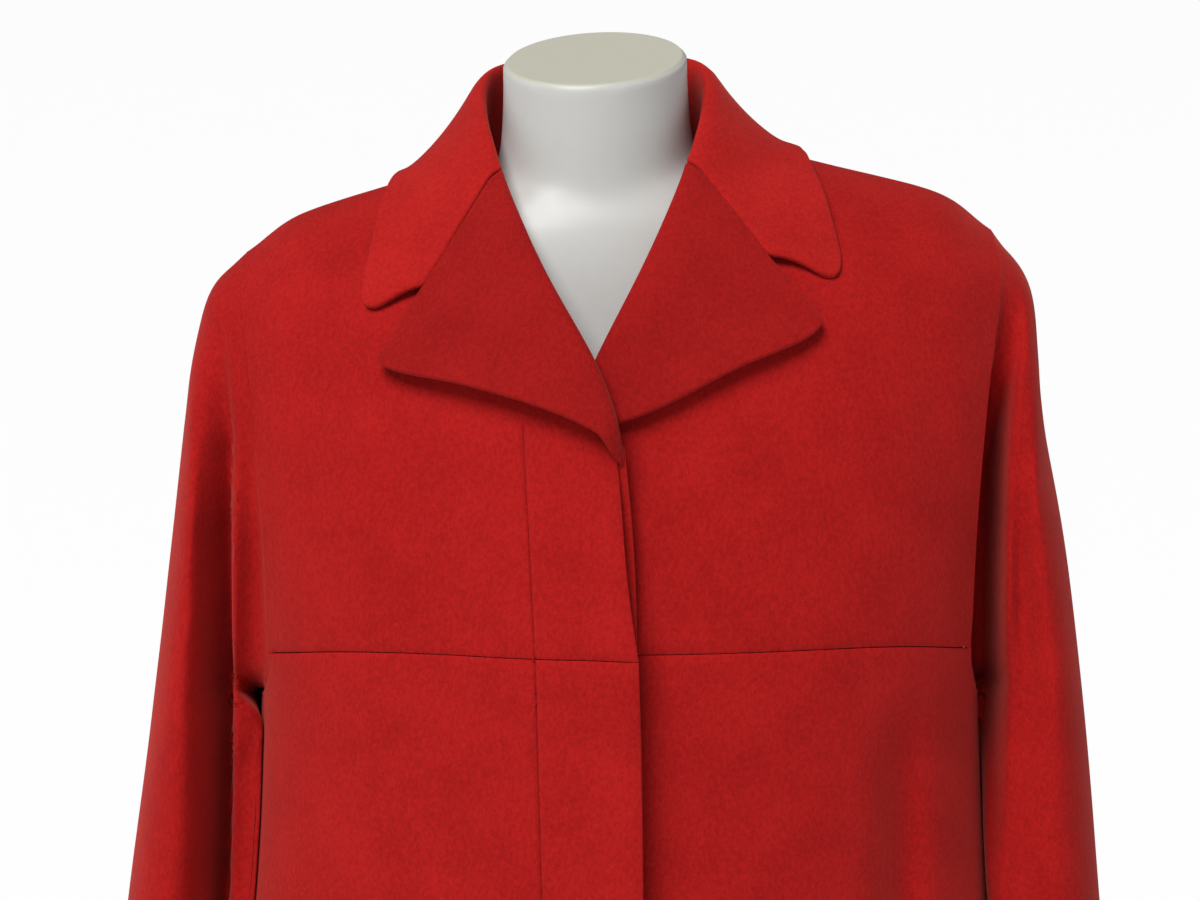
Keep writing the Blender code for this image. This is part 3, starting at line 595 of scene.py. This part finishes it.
body_cloth = cashmere("body cashmere", (0.268, 0.0041, 0.0043, 1.0), (0.402, 0.0095, 0.0085, 1.0))
SHOULDERS = {            # the tops of the sleeves stand out a little, and the ends of the shoulders drop
    "left": [
        ((0.233, 1.353), (0.0042, 0.0, 0.0012), 0.028),
        ((0.218, 1.385), (-0.0010, 0.0, -0.0050), 0.022),
    ],
    "right": [
        ((-0.236, 1.348), (-0.0036, 0.0, 0.0012), 0.030),
        ((-0.218, 1.371), (0.0005, 0.0, -0.0035), 0.022),
    ],
}
BACK_FOLDS = {
    "left": [
        Fold(0.006, 0.022, 0.030, [(0.120, 1.080, 0.2), (0.140, 0.900, 0.8), (0.150, 0.700, 1.0),
                                   (0.165, 0.420, 0.9)]),
        Fold(0.004, 0.018, 0.014, [(0.070, 1.330, 0.2), (0.095, 1.270, 1.0), (0.130, 1.215, 0.3)]),
    ],
    "right": [
        Fold(0.006, 0.026, 0.022, [(-0.150, 1.060, 0.2), (-0.160, 0.880, 0.9), (-0.175, 0.650, 1.0),
                                   (-0.190, 0.420, 0.8)]),
        Fold(0.004, 0.014, 0.020, [(-0.060, 1.310, 0.2), (-0.100, 1.255, 1.0), (-0.140, 1.210, 0.2)]),
    ],
}
for side in ("left", "right"):
    back = outer_face(f"coat_back_{side}", f"back_{side}", CLOTH)
    corners_held(back)
    refined(back, CLOTH_LEVELS, "PRESERVE_CORNERS")
    for draw in SHOULDERS[side]:
        drawn(back, *draw)
    sewn(back)
    press(back, 1, BACK_FOLDS[side])
    keep_side(back)
    seamed(back, CLOTH, SEAM_DIP)
    stand_for(back, body_cloth, "cashmere", f"coat_back_{side}")

# Lower fronts: two long panels of the same cashmere, sewn to the yokes at the chest seam and to the back
# at the sides. They flare to the hem; the wearer's right one laps over and hides the fastening.
FRONT_FOLDS = {
    "left": [
        Fold(0.012, 0.014, 0.013, [(0.157, 1.135, 0.0), (0.159, 1.095, 0.7), (0.160, 1.055, 1.0),
                                   (0.162, 0.950, 1.0), (0.168, 0.700, 1.0), (0.175, 0.420, 0.8)]),
        Fold(0.004, 0.014, 0.010, [(0.080, 0.980, 0.0), (0.085, 0.800, 1.0), (0.092, 0.420, 1.0)]),
    ],
    "right": [
        Fold(0.004, 0.016, 0.022, [(-0.165, 1.060, 0.0), (-0.172, 0.900, 1.0), (-0.190, 0.600, 1.0),
                                   (-0.200, 0.420, 0.8)]),
        Fold(0.003, 0.014, 0.012, [(-0.105, 0.960, 0.0), (-0.112, 0.760, 1.0), (-0.118, 0.420, 1.0)]),
    ],
}
FRONT_LIFT = [           # the free front edge stands off the front below it
    Fold(-0.006, 0.020, 0.020, [(-0.0006, 1.262, 0.0), (0.0010, 1.235, 0.7), (0.0035, 1.205, 1.0),
                                (0.0081, 1.170, 1.0), (0.0101, 1.148, 1.0), (0.0113, 1.098, 1.0),
                                (0.0125, 1.000, 1.0), (0.0139, 0.800, 0.5), (0.0149, 0.600, 0.0)]),
]
NO_PIN = 0.0
GROOVE = 0.0009         # half width of the groove that a line of stitches draws
GROOVE_DEPTH = 0.0014
GROOVE_MERGE = 1.5e-4
GROOVE_MATCH = 1.6e-4
FLY_TOP = Vector((-0.0541, 0.0, 1.2843))
FLY_BEND = Vector((-0.0473, 0.0, 1.1610))
FLY_HEM = Vector((-0.0275, 0.0, 0.4200))
FLY_FADE = 0.006        # the line of stitches fades out over this length at its top


def stitched(piece, top, foot):
    """Sews a fine groove down a sheet, on a straight line seen from the front."""
    run = foot - top
    across = Vector((run.z, 0.0, -run.x)).normalized()
    activate(piece)
    bpy.ops.object.mode_set(mode="EDIT")
    for away in (-GROOVE, 0.0, GROOVE):
        bpy.ops.mesh.select_all(action="SELECT")
        bpy.ops.mesh.bisect(plane_co=top + across * away, plane_no=across)
    bpy.ops.mesh.select_all(action="SELECT")
    bpy.ops.mesh.remove_doubles(threshold=GROOVE_MERGE)
    bpy.ops.object.mode_set(mode="OBJECT")
    points = piece.data.vertices
    on_line = [point for point in points if abs((point.co - top).dot(across)) < GROOVE_MATCH]
    normals = [point.normal.copy() for point in on_line]
    for point, normal in zip(on_line, normals):
        point.co -= normal * GROOVE_DEPTH * soft_step(FLY_TOP.z + FLY_FADE, FLY_TOP.z, point.co.z)


for side in ("left", "right"):
    lower = outer_face(f"coat_front_skirt_{side}", f"lower_front_{side}", CLOTH)
    corners_held(lower)
    refined(lower, CLOTH_LEVELS, "PRESERVE_CORNERS")
    sewn(lower)
    press(lower, -1, FRONT_FOLDS[side])
    if side == "right":
        press(lower, -1, FRONT_LIFT, NO_PIN)
        stitched(lower, FLY_BEND, FLY_HEM)
    keep_side(lower)
    seamed(lower, CLOTH, SEAM_DIP)
    stand_for(lower, body_cloth, "cashmere", f"coat_front_skirt_{side}")

# Front yokes: the chest pieces between the chest seam, the armhole, the shoulder seam and the neckline.
# Same cashmere, pressed flat over the chest, with a little spare cloth below each shoulder.
YOKE_FOLDS = {
    "left": [
        Fold(0.003, 0.016, 0.012, [(0.170, 1.340, 0.2), (0.176, 1.290, 1.0), (0.182, 1.230, 0.4)]),
    ],
    "right": [
        Fold(0.003, 0.012, 0.016, [(-0.165, 1.345, 0.3), (-0.172, 1.300, 1.0), (-0.180, 1.235, 0.3)]),
        Fold(0.002, 0.014, 0.014, [(-0.120, 1.270, 0.0), (-0.125, 1.235, 1.0), (-0.128, 1.190, 0.2)]),
    ],
}
SHOULDER_TIPS = {"left": (0.2167, 1.3800), "right": (-0.2178, 1.3668)}
SHOULDER_ROUND = 0.004
SHOULDER_ROUNDS = 5
for side in ("left", "right"):
    yoke = outer_face(f"coat_front_yoke_{side}", f"yoke_{side}", CLOTH)
    corners_held(yoke)
    refined(yoke, CLOTH_LEVELS, "PRESERVE_CORNERS")
    for draw in SHOULDERS[side]:
        drawn(yoke, *draw)
    sewn(yoke)
    rounded(yoke, SHOULDER_TIPS[side], SHOULDER_ROUND, SHOULDER_ROUNDS)
    press(yoke, -1, YOKE_FOLDS[side])
    if side == "right":
        press(yoke, -1, FRONT_LIFT, NO_PIN)
        stitched(yoke, FLY_TOP, FLY_BEND)
    seamed(yoke, CLOTH, SEAM_DIP)
    stand_for(yoke, body_cloth, "cashmere", f"coat_front_yoke_{side}")

# Fly strip: a long narrow strip of the same cashmere under the right front, which carries the buttons.
# Its edge peeps out past the front edge over the chest.
FLY = 0.0020
FLY_LEVELS = 2
fly = outer_face("coat_fly_strip", "fly_strip", FLY)
corners_held(fly)
refined(fly, FLY_LEVELS, "PRESERVE_CORNERS")
seamed(fly, FLY, 0.0)
stand_for(fly, body_cloth, "cashmere", "coat_fly_strip")

# Sleeves: each is one wide tube of cashmere set into the armhole, hanging empty beside the body.
# With no arm inside, the cloth falls in on itself in one long deep fold down the front.
SLEEVE_SET_BACK = {      # the cloth beside the armhole lies back behind the edge of the body
    "right": [
        Fold(0.009, 0.010, 0.012, [(-0.2140, 1.290, 0.0), (-0.2105, 1.250, 0.6), (-0.2095, 1.200, 1.0),
                                   (-0.2110, 1.150, 1.0), (-0.2160, 1.125, 1.0), (-0.2205, 1.100, 1.0),
                                   (-0.2200, 1.050, 1.0), (-0.2200, 0.990, 1.0), (-0.2210, 0.900, 0.5),
                                   (-0.2220, 0.820, 0.0)]),
    ],
    "left": [],
}
SLEEVE_FOLDS = {
    "right": [
        Fold(0.040, 0.0115, 0.0024, [(-0.2285, 1.335, 0.0), (-0.2270, 1.310, 0.15), (-0.2225, 1.2668, 0.45),
                                     (-0.2247, 1.2133, 0.85), (-0.2259, 1.160, 1.0), (-0.2270, 1.095, 1.0),
                                     (-0.2281, 1.0534, 1.0), (-0.2304, 0.9961, 1.0), (-0.240, 0.900, 0.5),
                                     (-0.248, 0.800, 0.2)]),
    ],
    "left": [
        Fold(0.058, 0.0085, 0.0100, [(0.2235, 1.3700, 0.0), (0.2227, 1.3500, 0.06), (0.2205, 1.3224, 0.20),
                                     (0.2150, 1.3000, 0.38), (0.2105, 1.2700, 0.75), (0.2090, 1.2500, 1.0),
                                     (0.2085, 1.2100, 1.0), (0.2085, 1.1755, 1.0), (0.2090, 1.1450, 1.0),
                                     (0.2100, 1.1200, 0.8), (0.2110, 1.1000, 0.55), (0.2105, 1.0600, 0.35),
                                     (0.2095, 1.0200, 0.2), (0.2080, 0.9700, 0.1), (0.2070, 0.9000, 0.0)]),
    ],
}
SLEEVE_POWER = {"left": 4, "right": 2}   # how steep the sides of the folds are
SLEEVE_BACK_FOLDS = {
    "right": [
        Fold(0.007, 0.010, 0.012, [(-0.238, 1.250, 0.0), (-0.243, 1.170, 1.0), (-0.250, 1.050, 0.9),
                                   (-0.262, 0.850, 0.3)]),
    ],
    "left": [
        Fold(0.007, 0.012, 0.009, [(0.236, 1.260, 0.0), (0.242, 1.180, 1.0), (0.250, 1.060, 0.8),
                                   (0.264, 0.860, 0.3)]),
    ],
}
SLEEVE_PIN = 0.003      # the sleeves fold right beside the armhole seam
SLEEVE_DEEP = 0.045
LEAN_MOST = {"left": 0.008, "right": 0.018}
LEAN_FRONT = {"left": 0.55, "right": 1.0}    # share of it at the front
LEAN_FRONT_Y = -0.050, -0.020
LEAN_SPACE = 0.0012     # the sleeves hang this close to the body's sides
LEAN_EASE = 0.030       # how far from there the cloth follows
LEAN_REACH = 0.022      # a body further off than this isn't leant on
LEAN_TOP, LEAN_FULL, LEAN_LOW, LEAN_END = 1.125, 1.100, 0.930, 0.840
LEAN_FACING = 0.6       # the cloth that faces the body by more than this leans


def leaning(piece, outward, most, front):
    """Leans the side of a sleeve that faces the body in against it."""
    body = BVHTree.FromPolygons(body_places, body_faces)
    toward = Vector((-outward, 0.0, 0.0))
    points = piece.data.vertices
    leaders = []
    for point in points:
        if point.co.z < LEAN_TOP and point.normal.dot(toward) > LEAN_FACING:
            hit = body.ray_cast(point.co - toward * LEAN_REACH, toward, LEAN_REACH * 2)[0]
            if hit:
                room = min(most, (hit - point.co).dot(toward) - LEAN_SPACE)
                level = soft_step(LEAN_TOP, LEAN_FULL, point.co.z)
                level *= soft_step(LEAN_END, LEAN_LOW, point.co.z)
                level *= front + (1.0 - front) * soft_step(*LEAN_FRONT_Y, point.co.y)
                leaders.append((point.co.copy(), toward * room * level))
    follow(piece, leaders, LEAN_EASE)


for side, outward in (("left", 1), ("right", -1)):
    sleeve = outer_face(f"coat_sleeve_{side}", f"sleeve_{side}", CLOTH)
    refined(sleeve, CLOTH_LEVELS, "PRESERVE_CORNERS")
    for draw in SHOULDERS[side]:
        drawn(sleeve, *draw)
    sewn(sleeve)
    press(sleeve, -1, SLEEVE_SET_BACK[side], SLEEVE_PIN, SLEEVE_DEEP)
    leaning(sleeve, outward, LEAN_MOST[side], LEAN_FRONT[side])
    press(sleeve, -1, SLEEVE_FOLDS[side], SLEEVE_PIN, SLEEVE_DEEP, SLEEVE_POWER[side])
    press(sleeve, 1, SLEEVE_BACK_FOLDS[side])
    seamed(sleeve, CLOTH, SEAM_DIP)
    stand_for(sleeve, body_cloth, "cashmere", f"coat_sleeve_{side}")

# Lapels: the turned-back tops of the fronts, two layers of cashmere turned right side out and pressed.
# Each rolls over at its roll line and lies on the chest, its tip left free below the notch.
TURNED = 0.0045
TURNED_LEVELS = 2
LAPEL_FOLDS = {
    "left": [
        Fold(-0.0035, 0.013, 0.013, [(0.008, 1.294, 0.6), (0.044, 1.309, 1.0), (0.080, 1.327, 0.8),
                                     (0.105, 1.340, 0.3)]),
        Fold(0.0020, 0.022, 0.022, [(0.020, 1.330, 0.3), (0.055, 1.360, 1.0), (0.075, 1.375, 0.2)]),
    ],
    "right": [
        Fold(-0.0080, 0.013, 0.013, [(-0.004, 1.281, 0.4), (-0.020, 1.2876, 0.9), (-0.0515, 1.2997, 1.0),
                                     (-0.0905, 1.3115, 0.8), (-0.1247, 1.3198, 0.35)]),
        Fold(0.0020, 0.022, 0.022, [(-0.045, 1.325, 0.3), (-0.080, 1.350, 1.0), (-0.105, 1.360, 0.2)]),
    ],
}
LAPEL_DRAWS = {          # the tips are drawn down, and the right foot runs into the front edge
    "left": [
        ((0.1080, 1.3400), (0.0032, -0.0022, -0.0055), 0.036),
        ((0.0200, 1.2980), (0.0, 0.0, -0.0028), 0.035),
    ],
    "right": [
        ((-0.1290, 1.3200), (-0.0042, -0.0020, -0.0048), 0.034),
        ((-0.0360, 1.2945), (0.0, 0.0, 0.0030), 0.026),
        ((0.0010, 1.2806), (0.0008, 0.0020, -0.0165), 0.0078),
        ((0.0018, 1.2640), (0.0, 0.0060, 0.0), 0.0100),
    ],
}
LAPEL_SOFT = {"left": [(0.1180, 1.3400)], "right": [(-0.1395, 1.3185), (-0.0433, 1.2975)]}
TIP_ROUND = 0.012
TIP_ROUNDS = 20


def turned_out(piece, wall, levels):
    """Gives a doubled piece its thickness and rounds all its edges off softly."""
    walled(piece, wall)
    refined(piece, levels, "ALL")
    smooth_shaded(piece, CLOTH_SMOOTH)


# Painted shade: the lapels' cloth is a darker copy of the body's cashmere, for the shade they lie in.
lapel_cloth_painted_darker = cashmere("lapel cashmere painted darker", (0.222, 0.0035, 0.0037, 1.0), (0.330, 0.0079, 0.0071, 1.0))
for side in ("left", "right"):
    lapel = outer_face(f"coat_lapel_{side}", f"lapel_{side}", TURNED)
    corners_held(lapel)
    refined(lapel, TURNED_LEVELS, "PRESERVE_CORNERS")
    press(lapel, -1, LAPEL_FOLDS[side], NO_PIN)
    for place, step, reach in LAPEL_DRAWS[side]:
        drawn(lapel, place, step, reach)
    for place in LAPEL_SOFT[side]:
        rounded(lapel, place, TIP_ROUND, TIP_ROUNDS)
    turned_out(lapel, TURNED, TURNED_LEVELS)
    stand_for(lapel, lapel_cloth_painted_darker, "cashmere", f"coat_lapel_{side}")

# Collar: one doubled strip of cashmere sewn to the neckline and to the tops of the lapels. It stands up
# round the neck, rolls over and lies down on the shoulders, with soft rounded tips at the notches.
COLLAR_DRAWS = (         # the tips are drawn down
    ((-0.1448, 1.3555), (-0.0045, -0.0050, -0.0140), 0.0190),
    ((0.1245, 1.3745), (0.0040, -0.0050, -0.0150), 0.0190),
)
COLLAR_TIPS = (-0.1493, 1.3415), (0.1295, 1.3590)
COLLAR_LEVELS = 1        # its cells are smaller than the lapels', so they are halved once less
# Painted light: the collar's cloth is a lighter copy of the body's cashmere, for the light that falls on
# its upturned top.
collar_cloth_painted_lighter = cashmere("collar cashmere painted lighter", (0.305, 0.0058, 0.0054, 1.0), (0.440, 0.0125, 0.0105, 1.0))
collar = outer_face("coat_collar", "collar", TURNED)
corners_held(collar)
refined(collar, TURNED_LEVELS, "PRESERVE_CORNERS")
for place, step, reach in COLLAR_DRAWS:
    drawn(collar, place, step, reach)
for place in COLLAR_TIPS:
    rounded(collar, place, TIP_ROUND, TIP_ROUNDS)
turned_out(collar, TURNED, COLLAR_LEVELS)
stand_for(collar, collar_cloth_painted_lighter, "cashmere", "coat_collar")

# Floor: one plain pale sheet, wide enough to fill the picture behind the coat.
# The base plate stands on it, and it is stage, not part of the coat.
FLOOR_SIZE = 160.0
FLOOR_TONE = 0.95, 0.95, 0.95, 1.0
bpy.ops.object.select_all(action="DESELECT")
bpy.ops.mesh.primitive_plane_add(size=FLOOR_SIZE, location=(0, 0, 0))
floor = bpy.context.object
floor.name = "floor"
pale = Finish("pale floor", {"Base Color": FLOOR_TONE, "Roughness": 0.9, "Specular IOR Level": 0.1})
floor.data.materials.append(pale.material)

# Light: a bright even room, and one large soft lamp far off, high on the left in front of the coat.
# They leave the floor nearly white and shade the folds softly.
ROOM_LIGHT = 0.14
LAMP_LIGHT = 3.55
LAMP_WIDTH = math.radians(34)
LAMP_FROM = Vector((-0.32, -0.53, 0.86))
room = bpy.data.worlds.new("room")
room.use_nodes = True
even = room.node_tree.nodes["Background"]
even.inputs["Color"].default_value = (1.0, 1.0, 1.0, 1.0)
even.inputs["Strength"].default_value = ROOM_LIGHT
bpy.context.scene.world = room
lamp = bpy.data.objects.new("lamp", bpy.data.lights.new("lamp", "SUN"))
lamp.data.energy = LAMP_LIGHT
lamp.data.angle = LAMP_WIDTH
lamp.rotation_euler = (-LAMP_FROM).to_track_quat("-Z", "Y").to_euler()
bpy.context.scene.collection.objects.link(lamp)

# Camera: in front of the chest, a little above it and looking slightly down, close enough that the frame
# ends above the neck and at the waist.
CAMERA_AT = -0.0115, -2.5, 1.64
CAMERA_DOWN = 8.833     # degrees
CAMERA_LENS, CAMERA_SENSOR = 129.6, 36.0
camera = bpy.data.objects.new("camera", bpy.data.cameras.new("camera"))
camera.location = CAMERA_AT
camera.rotation_euler = (math.radians(90 - CAMERA_DOWN), 0.0, 0.0)
camera.data.lens = CAMERA_LENS
camera.data.sensor_width = CAMERA_SENSOR
bpy.context.scene.collection.objects.link(camera)
bpy.context.scene.camera = camera
bpy.context.scene.view_settings.view_transform = "Standard"
